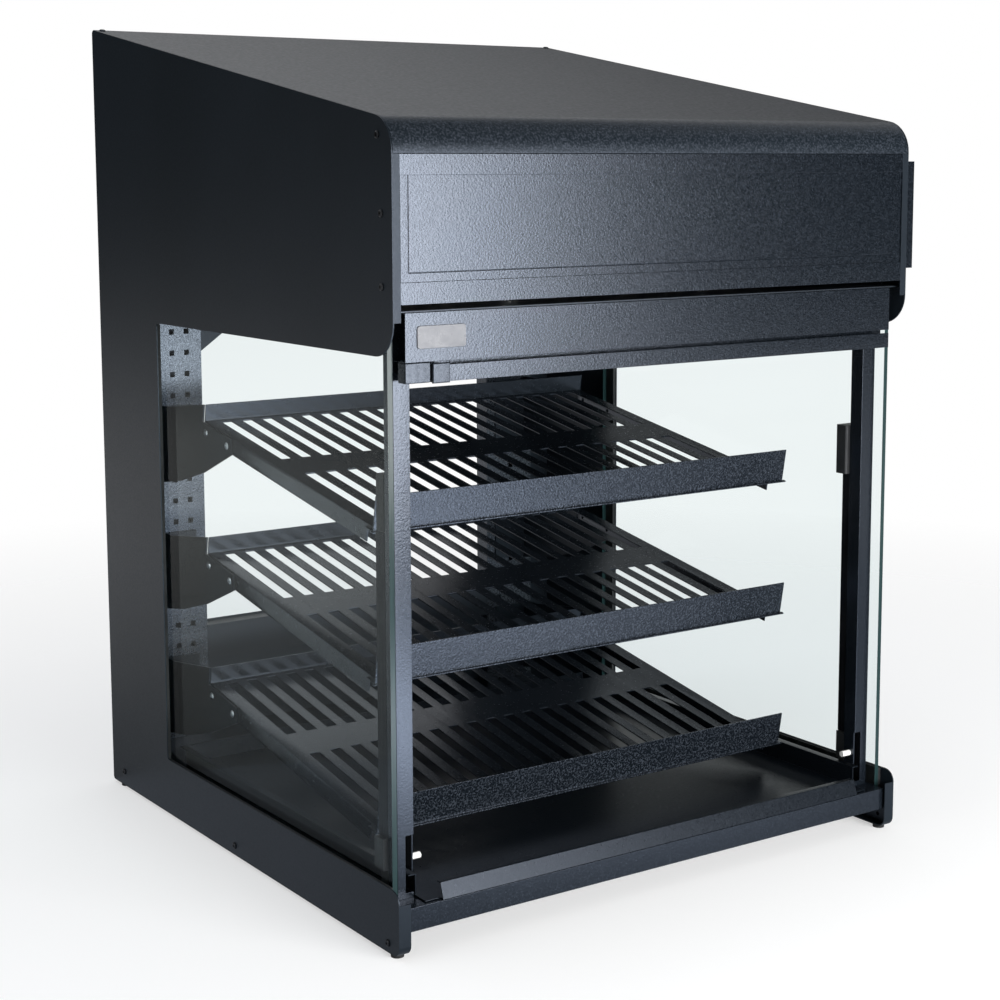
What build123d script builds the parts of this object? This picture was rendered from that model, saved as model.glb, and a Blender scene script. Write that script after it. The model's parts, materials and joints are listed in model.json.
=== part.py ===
from build123d import *
import os
from math import cos, radians, sin, tan

# Heated display case, open at the front and the back, in millimetres.
# Case coordinates: x from the middle to the right, y from the front to the back, z up from the table.

# Case
case_width = 610.0
case_depth = 622.0
foot_height = 3.0
rear_height = 843.0
roof_slope = 10.0
sheet = 1.2
seat_gap = 0.3
flange_depth = 12.5
header_flange_depth = 8.0
roof_flange = 14.0
roof_bend = 2.5
nose_radius = 32.0
nose_straight = 1.5
header_radius = 30.0
rail_radius = 12.0
foot_corner_radius = 10.0
rear_corner_radius = 4.0

# Side windows
window_bottom = 63.0
window_head = 5.0
window_rear = 475.0
glass_thickness = 5.0
glass_inset = 4.8
glass_front = 18.0
glass_lap = 15.0
glass_drop = 30.0
tape_margin = 1.0

# Header, sign and valance
upper_rail_height = 18.0
sign_height = 90.0
lower_rail_height = 19.0
ceiling_drop = 7.0
sign_thickness = 2.0
sign_upper_lap = 10.7
sign_lower_lap = 6.7
sign_reach = 10.0
sign_pull_depth = 12.0
sign_border = 7.5
sign_groove = 0.8
sign_play = 1.0
valance_height = 43.0
valance_front = 6.5
valance_inset = 16.0
valance_step = 3.0
strip_height = 15.0
end_cap_length = 25.0
end_cap_edge = 0.6
clip_width = 18.0
clip_proud = 2.0
clip_lap = 1.0
clip_edge = 0.8
plate_width = 50.0
plate_height = 20.0
plate_inset = 36.6
plate_corner = 3.0
plate_thickness = 1.0
plate_edge = 0.4

# Front posts
post_inset = 15.0
post_width = 17.0
post_front = 26.0
post_depth = 16.0
post_sheet = 1.5
notch_bottom = 50.0
notch_top = 103.0
notch_depth = 8.5
notch_play = 2.5
light_bar_width = 11.0
light_bar_depth = 15.5
light_bar_bottom = 98.0
light_bar_height = 278.0
groove_depth = 3.0
groove_margin = 6.0
socket_play = 2.0
lens_recess = 1.0
driver_height = 51.0
driver_width = 22.0
driver_edge = 1.5
pin_radius = 3.0
pin_length = 11.0
pin_height = 80.0

# Base and tray
base_bottom = 23.0
base_rail_width = 24.0
deck_height = 45.0
apron_front = 4.0
tray_side_gap = 1.0
tray_depth = 490.0
tray_wall = 21.0
tray_flange = 7.0
tray_lip_height = 15.0
tray_lip_lean = 5.0
tray_lip_inset = 16.0
pad_radius = 6.0
pad_from_front = 14.0
pad_from_rear = 22.0
pad_side_margin = 54.0
pad_end_margin = 86.0
pad_thickness = 1.2

# Rear
upright_inset = 43.0
upright_width = 67.0
upright_depth = 21.0
hole_pitch = 24.0
hole_size = 6.0
hole_inset = 18.0
column_pitch = 18.0
sill_bottom = 131.0
sill_height = 40.0
gusset_width = 73.0
gusset_height = 51.0
rear_opening_bottom = 173.0

# Shelves
shelf_bottom = 75.0
shelf_pitch = 6 * hole_pitch
shelf_front = 124.0
shelf_side_gap = 22.0
shelf_length = 361.0
shelf_sheet = 1.5
shelf_flange = 18.0
shelf_upstand = 18.0
lip_height = 32.0
lip_overhang = 4.0
lip_return = 14.0
lip_toe = 3.0
lip_toe_overhang = 2.5
slot_pitch = 24.0
slot_width = 12.0
slot_length = 138.0
slot_first = 98.0
slot_row_pitch = 186.0
slot_count = 20
bracket_sheet = 2.0
bracket_toe = 292.0
bracket_drop = 53.0
bracket_fall = 12.0
bracket_step = 30.0
bracket_chin = 10.0
bracket_edge = 3.0
flange_notch = 1.0
bolt_radius = 2.0
bolt_head_radius = 4.0
bolt_head = 2.4
bolt_first = 300.0
bolt_pitch = 49.0
bolt_drop = 10.0

# Screws in the side panels, the rear and the roof
front_screw_y = 19.4
front_screw_rise = 8.6
middle_screw_shift = 7.0
middle_screw_rise = 9.8
rear_screw_inset = 31.0
rear_screw_rise = 15.6
header_screw_y = 17.8
header_low_rise = 15.0
header_middle_drop = 32.0
header_high_y = 22.7
header_high_rise = 16.0
rear_line_inset = 7.0
rear_line_rise = 60.0
roof_screw_inset = 9.0
screw_radius = 2.0
screw_head_radius = 3.4
screw_head = 1.6
screw_length = 7.0

# Working parts above the ceiling
fan_size = 80.0
fan_height = 25.0
fan_bore = 38.0
fan_hub = 14.0
fan_blade_tip = 35.0
fan_x = 140.0
fan_y = 360.0
fan_axle = 2.0
blade_count = 7
blade_chord = 13.0
blade_thickness = 1.5
blade_root = 2.0
spider_height = 3.0
spider_width = 4.0
rotor_gap = 1.0
heater_radius = 4.0
heater_turn = 19.5
heater_pass = 40.0
heater_margin = 68.5
heater_first = 110.0
heater_height = 14.0
insulator_length = 16.0
insulator_wall = 4.0
support_margin = 15.0
bridge_margin = 12.0
bridge_width = 16.0
ceiling_flange_gap = 15.0
duct_length = 60.0
duct_height = 8.0
duct_gap = 14.0

# Controls on the rear panel
control_rise = 67.8
power_switch_x = 150.0
light_switch_x = 190.0
rocker_width = 16.0
rocker_depth = 10.0
rocker_height = 24.0
rocker_gap = 0.5
bezel_border = 4.0
bezel_height = 3.0
bezel_corner = 2.0
switch_body_depth = 24.0
rocker_well = 3.0
rocker_room = 2.0
rocker_tilt = 8.0
rocker_hollow = 1.5
rocker_pin_radius = 1.0
rocker_pin_length = 1.1
knob_x = 90.0
knob_radius = 17.0
knob_height = 18.0
knob_waist = 3.0
knob_flute = 1.2
knob_mark = 0.8
shaft_radius = 3.0
shaft_play = 0.06
thermostat_width = 44.0
thermostat_depth = 30.0
lamp_x = 225.0
lamp_radius = 6.0
lamp_height = 4.0
lamp_round = 2.5
inlet_x = -220.0
inlet_width = 50.0
inlet_depth = 14.0
inlet_height = 28.0
inlet_corner = 3.0
inlet_floor = 2.0
socket_side = 10.0
socket_edge = 4.0
prong_pitch = 7.0
prong_width = 2.0
prong_height = 6.0
vent_drop = 50.0
vent_pitch = 16.0

slope = radians(roof_slope)
half = case_width / 2
nose_z = rear_height - case_depth * tan(slope)
strip_top = nose_z - nose_radius * tan((radians(90) - slope) / 2) - nose_straight
sign_top = strip_top - upper_rail_height
sign_bottom = sign_top - sign_height
rail_bottom = sign_bottom - lower_rail_height
ceiling_height = rail_bottom - ceiling_drop
valance_top = ceiling_height - seat_gap
valance_bottom = ceiling_height - valance_height
window_top = valance_bottom + window_head
inner_half = half - sheet
rear_panel_y = case_depth - 2 * sheet - seat_gap
rear_face = rear_panel_y + sheet
header_half = half - header_flange_depth
valance_half = half - valance_inset
backing_y = sheet + 2 * seat_gap + sign_thickness
sign_low_edge = sign_bottom - sign_lower_lap
sign_high_edge = sign_top + sign_upper_lap
glass_outer = half - glass_inset
glass_inner = glass_outer - glass_thickness
glass_rear = window_rear + glass_lap
glass_bottom = window_bottom - glass_drop
glass_top = window_top + glass_lap
post_outer = half - post_inset
post_inner = post_outer - post_width
upright_outer = half - upright_inset
upright_inner = upright_outer - upright_width
tray_half = post_inner - tray_side_gap
tray_bottom = deck_height + seat_gap
tray_top = tray_bottom + tray_wall
upright_front = rear_panel_y - seat_gap - upright_depth
knob_face = rear_face + seat_gap
switch_z = ceiling_height + sheet + control_rise
shelf_half = tray_half - shelf_side_gap
shelf_levels = {
    "bottom": shelf_bottom,
    "middle": shelf_bottom + shelf_pitch,
    "top": shelf_bottom + 2 * shelf_pitch,
}

# The origin is at the middle of the whole part's box, on the table
mid_x = (screw_head - sign_reach) / 2
front_y = -(knob_face + knob_height) / 2

case_frame = Plane(origin=(mid_x, front_y, 0))

os.makedirs("parts", exist_ok=True)


def side_face(x):
    """Upright plane across the case at x: sketch (y, z), normal to the right."""
    return Plane(origin=(mid_x + x, front_y, 0), x_dir=(0, 1, 0), z_dir=(1, 0, 0))


def front_face(y):
    """Upright plane along the case at y: sketch (x, z), normal to the front."""
    return Plane(origin=(mid_x, front_y + y, 0), x_dir=(1, 0, 0), z_dir=(0, -1, 0))


def level(z):
    """Level plane at height z: sketch (x, y), normal up."""
    return Plane(origin=(mid_x, front_y, z))


def shelf_plane(height):
    """Top face of a shelf, from its front edge: sketch (x, up the slope)."""
    origin = (mid_x, front_y + shelf_front, height)
    return Plane(origin=origin, x_dir=(1, 0, 0), z_dir=(0, -sin(slope), cos(slope)))


def on_shelf(height, along, up):
    """The (y, z) of a point on a shelf, from its length along the slope and its rise off it."""
    y = shelf_front + along * cos(slope) - up * sin(slope)
    z = height + along * sin(slope) + up * cos(slope)
    return (y, z)


def block(x, y, z, mode=Mode.ADD):
    """A box between two limits along each axis of the workplane."""
    with Locations(((x[0] + x[1]) / 2, (y[0] + y[1]) / 2, (z[0] + z[1]) / 2)):
        Box(abs(x[1] - x[0]), abs(y[1] - y[0]), abs(z[1] - z[0]), mode=mode)


# Side panels: a C-shaped sheet with a return flange round its edge
screw_places = [
    (front_screw_y, foot_height + front_screw_rise),
    (case_depth / 2 + middle_screw_shift, foot_height + middle_screw_rise),
    (case_depth - rear_screw_inset, foot_height + rear_screw_rise),
    (header_screw_y, rail_bottom + header_low_rise),
    (header_screw_y, sign_top - header_middle_drop),
    (header_high_y, strip_top + header_high_rise),
]
rear_line_x = inner_half - rear_line_inset
rear_heights = [
    rear_line_rise,
    (rear_line_rise + window_top - rear_line_rise / 2) / 2,
    window_top - rear_line_rise / 2,
    window_top + rear_line_rise / 2,
    rear_height - roof_flange - rear_line_rise,
]
roof_flange_z = rear_height - roof_flange / 2
roof_screw_y = case_depth - roof_screw_inset
roof_screw_z = rear_height - roof_screw_inset * tan(slope)
roof_normal = (0, -sin(slope), cos(slope))


def rear_places(side, heights):
    """Sketch places on a rear face, one for each height, near the given side."""
    return [(side * rear_line_x, z) for z in heights]


def roof_plane(side):
    """The roof's top face at the rear corner screw of the given side."""
    origin = (mid_x + side * rear_line_x, front_y + roof_screw_y, roof_screw_z)
    return Plane(origin=origin, x_dir=(1, 0, 0), z_dir=roof_normal)


for side, s in (("left", -1), ("right", 1)):
    with BuildPart(case_frame) as side_panel:
        with BuildSketch(side_face(s * half)):
            with BuildLine():
                FilletPolyline(
                    (0, foot_height), (case_depth, foot_height), (case_depth, rear_height),
                    (0, nose_z), (0, window_top), (window_rear, window_top),
                    (window_rear, window_bottom), (0, window_bottom),
                    radius=[foot_corner_radius, rear_corner_radius, rear_corner_radius, nose_radius,
                            header_radius, rear_corner_radius, rear_corner_radius, rail_radius],
                    close=True,
                )
            make_face()
            with Locations(*screw_places):
                Circle(screw_radius + seat_gap / 2, mode=Mode.SUBTRACT)
        extrude(amount=-s * sheet)
        with BuildSketch(side_face(s * inner_half)) as edge_flange:
            with BuildLine():
                FilletPolyline(
                    (0, foot_height), (case_depth, foot_height), (case_depth, rear_height), (0, nose_z),
                    radius=[foot_corner_radius, rear_corner_radius, rear_corner_radius, nose_radius],
                    close=True,
                )
            make_face()
            outline = edge_flange.face()
            offset(outline, amount=-sheet, mode=Mode.SUBTRACT)
            with Locations((case_depth / 2, strip_top)):
                Rectangle(2 * case_depth, 2 * (rear_height - strip_top),
                          align=(Align.CENTER, Align.MIN), mode=Mode.SUBTRACT)
            with Locations((0, window_bottom - rail_radius)):
                Rectangle(glass_front, window_top + header_radius - window_bottom + rail_radius,
                          align=(Align.CENTER, Align.MIN), mode=Mode.SUBTRACT)
        extrude(amount=-s * (flange_depth - sheet))
        block((s * header_half, s * (half - 2 * flange_depth)), (-sheet, 2 * sheet),
              (window_top, strip_top + sheet), mode=Mode.SUBTRACT)
        with BuildSketch(side_face(s * inner_half)):
            with BuildLine():
                roof_line = Line(
                    (nose_radius, nose_z + nose_radius * tan(slope) - (sheet + seat_gap) / cos(slope)),
                    (rear_panel_y - seat_gap,
                     rear_height - (case_depth - rear_panel_y + seat_gap) * tan(slope)
                     - (sheet + seat_gap) / cos(slope)),
                )
                offset(roof_line, amount=sheet, side=Side.RIGHT)
            make_face()
        extrude(amount=-s * (flange_depth - sheet))
        with BuildSketch(front_face(case_depth)):
            with Locations(*rear_places(s, rear_heights + [roof_flange_z])):
                Circle(screw_radius + seat_gap / 2)
        extrude(amount=sheet, mode=Mode.SUBTRACT)
        with BuildSketch(roof_plane(s)):
            Circle(screw_radius + seat_gap / 2)
        extrude(amount=-3 * sheet, mode=Mode.SUBTRACT)
        if side == "right":
            block((s * half, s * inner_half), (sheet, sheet + 2 * seat_gap + sign_thickness),
                  (sign_low_edge - seat_gap, sign_high_edge + seat_gap), mode=Mode.SUBTRACT)
    side_panel.part.label = f"side_panel_{side}"
    export_step(side_panel.part, f"parts/side_panel_{side}.step")

# Screws that hold the side panels to the base, the rails, the rear and the roof
with BuildPart(case_frame) as panel_screws:
    for s in (-1, 1):
        with BuildSketch(side_face(s * half)):
            with Locations(*screw_places):
                Circle(screw_head_radius)
        extrude(amount=s * screw_head)
        with BuildSketch(side_face(s * half)):
            with Locations(*screw_places):
                Circle(screw_radius)
        extrude(amount=-s * screw_length)
        for face_y, heights in ((case_depth, rear_heights), (case_depth + seat_gap + sheet, [roof_flange_z])):
            with BuildSketch(front_face(face_y)):
                with Locations(*rear_places(s, heights)):
                    Circle(screw_head_radius)
            extrude(amount=-screw_head)
            with BuildSketch(front_face(face_y)):
                with Locations(*rear_places(s, heights)):
                    Circle(screw_radius)
            extrude(amount=screw_length)
        with BuildSketch(roof_plane(s)):
            Circle(screw_head_radius)
        extrude(amount=screw_head)
        with BuildSketch(roof_plane(s)):
            Circle(screw_radius)
        extrude(amount=-screw_length)
panel_screws.part.label = "panel_screws"
export_step(panel_screws.part, "parts/panel_screws.step")

# Side glass, the tape that holds it to the panel and the strip that it stands on
for side, s in (("left", -1), ("right", 1)):
    with BuildPart(case_frame) as side_glass:
        block((s * glass_outer, s * glass_inner), (glass_front, glass_rear), (glass_bottom, glass_top))
    side_glass.part.label = f"side_glass_{side}"
    export_step(side_glass.part, f"parts/side_glass_{side}.step")

with BuildPart(case_frame) as glass_tapes:
    for s in (-1, 1):
        tape = (s * inner_half, s * glass_outer)
        block(tape, (window_rear + tape_margin, glass_rear), (glass_bottom, glass_top))
        block(tape, (glass_front + header_radius, glass_rear), (window_top + tape_margin, glass_top))
        block(tape, (glass_front, glass_rear), (glass_bottom, window_bottom - tape_margin))
glass_tapes.part.label = "glass_tapes"
export_step(glass_tapes.part, "parts/glass_tapes.step")

with BuildPart(case_frame) as glass_seats:
    for s in (-1, 1):
        block((s * glass_outer, s * glass_inner), (glass_front, glass_rear), (base_bottom, glass_bottom))
glass_seats.part.label = "glass_seats"
export_step(glass_seats.part, "parts/glass_seats.step")

# Base rails that carry the base and the glass between the side panels
with BuildPart(case_frame) as base_rails:
    for s in (-1, 1):
        block((s * inner_half, s * (inner_half - sheet)),
              (foot_corner_radius, case_depth - foot_corner_radius), (foot_height + 2 * sheet, base_bottom))
        block((s * inner_half, s * (inner_half - base_rail_width)),
              (foot_corner_radius, case_depth - foot_corner_radius), (base_bottom - sheet, base_bottom))
        with BuildSketch(side_face(s * inner_half)):
            with Locations(*screw_places[:3]):
                Circle(screw_radius + seat_gap / 2)
        extrude(amount=-s * sheet, mode=Mode.SUBTRACT)
base_rails.part.label = "base_rails"
export_step(base_rails.part, "parts/base_rails.step")

# Front posts: channels with a notch that the tray's flange passes through
for side, s in (("left", -1), ("right", 1)):
    with BuildPart(case_frame) as front_post:
        post_y = (post_front, post_front + post_depth)
        post_z = (deck_height, valance_top)
        block((s * post_outer, s * post_inner), (post_front, post_front + post_sheet), post_z)
        block((s * post_outer, s * (post_outer - post_sheet)), post_y, post_z)
        block((s * post_inner, s * (post_inner + post_sheet)), post_y, post_z)
        block((s * post_inner, s * (post_inner + notch_depth)), (post_front, post_front + post_sheet),
              (notch_bottom, notch_top), mode=Mode.SUBTRACT)
        block((s * post_inner, s * (post_inner + notch_depth)), post_y,
              (notch_bottom, tray_top + notch_play), mode=Mode.SUBTRACT)
    front_post.part.label = f"front_post_{side}"
    export_step(front_post.part, f"parts/front_post_{side}.step")

# Light bars behind the posts, each with a lens, a driver above and a socket below
bar_y = (post_front + post_depth + seat_gap, post_front + post_depth + seat_gap + light_bar_depth)
light_bar_top = light_bar_bottom + light_bar_height
groove_y = bar_y[1] - groove_depth
groove_z = (light_bar_bottom + groove_margin, light_bar_top - groove_margin)
with BuildPart(case_frame) as light_bars:
    for s in (-1, 1):
        groove_x = (s * (post_outer - sheet), s * (post_outer - light_bar_width + sheet))
        block((s * post_outer, s * (post_outer - light_bar_width)), bar_y,
              (light_bar_bottom, light_bar_top))
        block(groove_x, (groove_y, bar_y[1]), groove_z, mode=Mode.SUBTRACT)
light_bars.part.label = "light_bars"
export_step(light_bars.part, "parts/light_bars.step")

with BuildPart(case_frame) as light_lenses:
    for s in (-1, 1):
        groove_x = (s * (post_outer - sheet), s * (post_outer - light_bar_width + sheet))
        block(groove_x, (groove_y, bar_y[1] - lens_recess), groove_z)
light_lenses.part.label = "light_lenses"
export_step(light_lenses.part, "parts/light_lenses.step")

with BuildPart(case_frame) as light_drivers:
    for s in (-1, 1):
        block((s * post_outer, s * (post_outer - driver_width)), bar_y,
              (light_bar_top + seat_gap, light_bar_top + driver_height))
    chamfer(light_drivers.edges().filter_by(Axis.Z), driver_edge)
light_drivers.part.label = "light_drivers"
export_step(light_drivers.part, "parts/light_drivers.step")

with BuildPart(case_frame) as light_sockets:
    for s in (-1, 1):
        socket_z = tray_top + socket_play
        block((s * (glass_inner - seat_gap), s * (post_outer - light_bar_width - socket_play)), bar_y,
              (socket_z, light_bar_bottom - seat_gap))
        block((s * (post_outer - socket_play), s * (tray_half + tray_flange + socket_play)), bar_y,
              (deck_height, socket_z))
light_sockets.part.label = "light_sockets"
export_step(light_sockets.part, "parts/light_sockets.step")

# Rear uprights with two rows of square holes for the shelf brackets
first_column = upright_inner + hole_inset
row_count = int((ceiling_height - deck_height) / hole_pitch) - 1
for side, s in (("left", -1), ("right", 1)):
    with BuildPart(case_frame) as rear_upright:
        upright_z = (deck_height, valance_top)
        upright_y = (upright_front, upright_front + upright_depth)
        block((s * upright_inner, s * upright_outer), (upright_front, upright_front + post_sheet),
              upright_z)
        block((s * upright_inner, s * (upright_inner + post_sheet)), upright_y, upright_z)
        block((s * upright_outer, s * (upright_outer - post_sheet)), upright_y, upright_z)
        with BuildSketch(front_face(upright_front)):
            with Locations((s * (first_column + column_pitch / 2), (upright_z[0] + upright_z[1]) / 2)):
                with GridLocations(column_pitch, hole_pitch, 2, row_count):
                    Rectangle(hole_size, hole_size)
        extrude(amount=-post_sheet, mode=Mode.SUBTRACT)
    rear_upright.part.label = f"rear_upright_{side}"
    export_step(rear_upright.part, f"parts/rear_upright_{side}.step")

# Roof: a sheet that slopes down to the front, turns over the nose and laps the rear edge
with BuildPart(case_frame) as roof_panel:
    roof_half = inner_half - seat_gap
    lap_y = case_depth + seat_gap + sheet
    with BuildSketch(side_face(-roof_half)):
        with BuildLine():
            roof_profile = FilletPolyline(
                (lap_y, rear_height - roof_flange), (lap_y, nose_z + lap_y * tan(slope)), (0, nose_z),
                (0, strip_top + seat_gap), radius=[roof_bend, nose_radius]
            )
            offset(roof_profile, amount=sheet, side=Side.LEFT)
        make_face()
    extrude(amount=2 * roof_half)
    with BuildSketch(front_face(lap_y)):
        for s in (-1, 1):
            with Locations(*rear_places(s, [roof_flange_z])):
                Circle(screw_radius + seat_gap / 2)
    extrude(amount=sheet, mode=Mode.SUBTRACT)
    for s in (-1, 1):
        with BuildSketch(roof_plane(s)):
            Circle(screw_radius + seat_gap / 2)
        extrude(amount=-2 * sheet, mode=Mode.SUBTRACT)
roof_panel.part.label = "roof_panel"
export_step(roof_panel.part, "parts/roof_panel.step")

# Header: a backing sheet and two rails that hold the sliding sign panel
with BuildPart(case_frame) as header_backing:
    block((-header_half, header_half), (backing_y, backing_y + sheet), (rail_bottom, strip_top))
    block((-header_half, header_half), (backing_y, backing_y + flange_depth),
          (rail_bottom, rail_bottom + sheet))
header_backing.part.label = "header_backing"
export_step(header_backing.part, "parts/header_backing.step")

upper_web = sign_high_edge + seat_gap
with BuildPart(case_frame) as sign_rail_upper:
    block((-header_half, header_half), (0, sheet), (sign_top, strip_top))
    block((-header_half, header_half), (0, backing_y), (upper_web, upper_web + sheet))
sign_rail_upper.part.label = "sign_rail_upper"
export_step(sign_rail_upper.part, "parts/sign_rail_upper.step")

lower_web = sign_low_edge - seat_gap
with BuildPart(case_frame) as sign_rail_lower:
    block((-header_half, header_half), (0, sheet), (rail_bottom, sign_bottom))
    block((-header_half, header_half), (0, backing_y), (lower_web - sheet, lower_web))
sign_rail_lower.part.label = "sign_rail_lower"
export_step(sign_rail_lower.part, "parts/sign_rail_lower.step")

# Sign panel: slides out to the right by its turned end
with BuildPart(case_frame) as sign_panel:
    sign_y = (sheet + seat_gap, sheet + seat_gap + sign_thickness)
    sign_x = (-header_half + sign_play, half + sign_reach)
    block(sign_x, sign_y, (sign_low_edge, sign_high_edge))
    block((sign_x[1] - sign_thickness, sign_x[1]), (sign_y[0], sign_y[0] + sign_pull_depth),
          (sign_low_edge, sign_high_edge))
    block((sign_x[0] + sign_border, sign_x[0] + sign_border + sign_groove),
          (sign_y[0], sign_y[0] + sign_groove / 2), (sign_bottom + sign_border, sign_top),
          mode=Mode.SUBTRACT)
    block((sign_x[0] + sign_border, header_half - sign_border), (sign_y[0], sign_y[0] + sign_groove / 2),
          (sign_bottom + sign_border, sign_bottom + sign_border + sign_groove), mode=Mode.SUBTRACT)
sign_panel.part.label = "sign_panel"
export_step(sign_panel.part, "parts/sign_panel.step")

# Valance under the header, with a strip, an end cap and a clip along its lower edge
with BuildPart(case_frame) as valance:
    block((-valance_half, valance_half), (valance_front, valance_front + sheet),
          (valance_bottom, valance_top))
    block((-valance_half, valance_half), (valance_front, valance_front + flange_depth),
          (valance_top - sheet, valance_top))
    block((-valance_half, valance_half), (valance_front, valance_front + flange_depth),
          (valance_bottom, valance_bottom + sheet))
valance.part.label = "valance"
export_step(valance.part, "parts/valance.step")

strip_high = valance_bottom - seat_gap
strip_low = valance_bottom - valance_step - strip_height
strip_back = valance_front + flange_depth
cap_end = -valance_half + end_cap_length
with BuildPart(case_frame) as valance_strip:
    strip_x = (cap_end + valance_step / 2, valance_half)
    block(strip_x, (valance_front, valance_front + sheet), (strip_low, strip_high - valance_step))
    block(strip_x, (valance_front, strip_back), (strip_low, strip_low + sheet))
    block(strip_x, (strip_back - sheet, strip_back), (strip_low, strip_high))
valance_strip.part.label = "valance_strip"
export_step(valance_strip.part, "parts/valance_strip.step")

with BuildPart(case_frame) as valance_end_cap:
    block((-valance_half, cap_end), (valance_front, strip_back), (strip_low, strip_high))
    chamfer(valance_end_cap.edges().filter_by(Axis.X), end_cap_edge)
valance_end_cap.part.label = "valance_end_cap"
export_step(valance_end_cap.part, "parts/valance_end_cap.step")

with BuildPart(case_frame) as strip_clip:
    block((cap_end + valance_step / 2, cap_end + valance_step / 2 + clip_width),
          (valance_front - clip_proud, valance_front), (strip_low - clip_lap, strip_high - clip_lap))
    chamfer(strip_clip.faces().sort_by(Axis.Y)[0].edges(), clip_edge)
strip_clip.part.label = "strip_clip"
export_step(strip_clip.part, "parts/strip_clip.step")

with BuildPart(case_frame) as name_plate:
    with BuildSketch(front_face(valance_front)):
        with Locations((plate_inset - valance_half, (valance_bottom + valance_top) / 2)):
            RectangleRounded(plate_width, plate_height, plate_corner)
    extrude(amount=plate_thickness)
    chamfer(name_plate.faces().sort_by(Axis.Y)[0].edges(), plate_edge)
name_plate.part.label = "name_plate"
export_step(name_plate.part, "parts/name_plate.step")

# Ceiling under the header, with fan holes and a field of air slots
with BuildPart(case_frame) as ceiling_panel:
    ceiling_half = inner_half - seat_gap
    ceiling_y = (valance_front + sheet, rear_panel_y - seat_gap)
    block((-ceiling_half, ceiling_half), ceiling_y, (ceiling_height, ceiling_height + sheet))
    for s in (-1, 1):
        block((s * ceiling_half, s * (ceiling_half - sheet)),
              (backing_y + flange_depth + ceiling_flange_gap, ceiling_y[1]),
              (ceiling_height, ceiling_height + flange_depth))
    with BuildSketch(level(ceiling_height)):
        with Locations((0, heater_first + 1.5 * heater_pass)):
            with GridLocations(duct_length + duct_gap, heater_pass, 6, 4):
                Rectangle(duct_length, duct_height)
        with Locations((-fan_x, fan_y), (fan_x, fan_y)):
            Circle(fan_bore)
    extrude(amount=sheet, mode=Mode.SUBTRACT)
ceiling_panel.part.label = "ceiling_panel"
export_step(ceiling_panel.part, "parts/ceiling_panel.step")

# Fans: a frame with a spider and an axle, and a rotor on the axle
fan_bottom = ceiling_height + sheet
rotor_bottom = fan_bottom + spider_height + rotor_gap
rotor_height = fan_height - 2 * spider_height - 2 * rotor_gap
with BuildPart(level(fan_bottom)) as fan_frames:
    on_floor = (Align.CENTER, Align.CENTER, Align.MIN)
    with Locations((-fan_x, fan_y, 0), (fan_x, fan_y, 0)):
        Box(fan_size, fan_size, fan_height, align=on_floor)
        Cylinder(fan_bore, fan_height, align=on_floor, mode=Mode.SUBTRACT)
        Cylinder(fan_hub, spider_height, align=on_floor)
        for turn in (0, 60, 120):
            Box(2 * fan_bore + 2 * rotor_gap, spider_width, spider_height,
                rotation=(0, 0, turn), align=on_floor)
        Cylinder(fan_axle, fan_height - 2 * spider_height, align=on_floor)
fan_frames.part.label = "fan_frames"
export_step(fan_frames.part, "parts/fan_frames.step")

for side, s in (("left", -1), ("right", 1)):
    with BuildPart(level(rotor_bottom)) as fan_rotor:
        with Locations((s * fan_x, fan_y, 0)):
            Cylinder(fan_hub, rotor_height, align=on_floor)
            with PolarLocations((fan_hub + fan_blade_tip) / 2, blade_count):
                with Locations((0, 0, rotor_height / 2)):
                    Box(fan_blade_tip - fan_hub + 2 * blade_root, blade_chord, blade_thickness,
                        rotation=(42, 0, 0))
            Cylinder(fan_axle + shaft_play, fan_height - 2 * spider_height, align=on_floor,
                     mode=Mode.SUBTRACT)
    fan_rotor.part.label = f"fan_rotor_{side}"
    export_step(fan_rotor.part, f"parts/fan_rotor_{side}.step")

# Heating element: one tube in four passes over the air slots
heater_z = ceiling_height + sheet + heater_height
heater_span = ceiling_half - heater_margin
with BuildPart(case_frame) as heating_element:
    turns = []
    for i in range(4):
        ends = (-heater_span, heater_span) if i % 2 == 0 else (heater_span, -heater_span)
        turns += [(end, heater_first + i * heater_pass) for end in ends]
    with BuildLine(level(heater_z)) as heater_path:
        FilletPolyline(*turns, radius=heater_turn)
    with BuildSketch(Plane(heater_path.line @ 0, z_dir=heater_path.line % 0)):
        Circle(heater_radius)
    sweep()
heating_element.part.label = "heating_element"
export_step(heating_element.part, "parts/heating_element.step")

with BuildPart(case_frame) as heater_insulators:
    with BuildSketch(side_face(-heater_span)):
        with Locations((heater_first, heater_z), (heater_first + 3 * heater_pass, heater_z)):
            Circle(heater_radius + insulator_wall)
    extrude(amount=-insulator_length)
heater_insulators.part.label = "heater_insulators"
export_step(heater_insulators.part, "parts/heater_insulators.step")

# A wall that carries the insulators, and two bridges under the passes
support_top = heater_z - heater_radius - seat_gap
wall_y = (heater_first - support_margin, heater_first + 3 * heater_pass + support_margin)
bridge_y = (heater_first - bridge_margin, heater_first + 3 * heater_pass + bridge_margin)
with BuildPart(case_frame) as heater_supports:
    wall_x = -heater_span - insulator_length
    block((wall_x - sheet, wall_x), wall_y, (fan_bottom, heater_z + heater_height))
    block((wall_x - flange_depth, wall_x), wall_y, (fan_bottom, fan_bottom + sheet))
    for s in (-1, 1):
        bridge_x = ((s * heater_span - bridge_width) / 2, (s * heater_span + bridge_width) / 2)
        block(bridge_x, bridge_y, (support_top - sheet, support_top))
        block(bridge_x, (bridge_y[0], bridge_y[0] + sheet), (fan_bottom, support_top))
        block(bridge_x, (bridge_y[1] - sheet, bridge_y[1]), (fan_bottom, support_top))
heater_supports.part.label = "heater_supports"
export_step(heater_supports.part, "parts/heater_supports.step")

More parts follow.
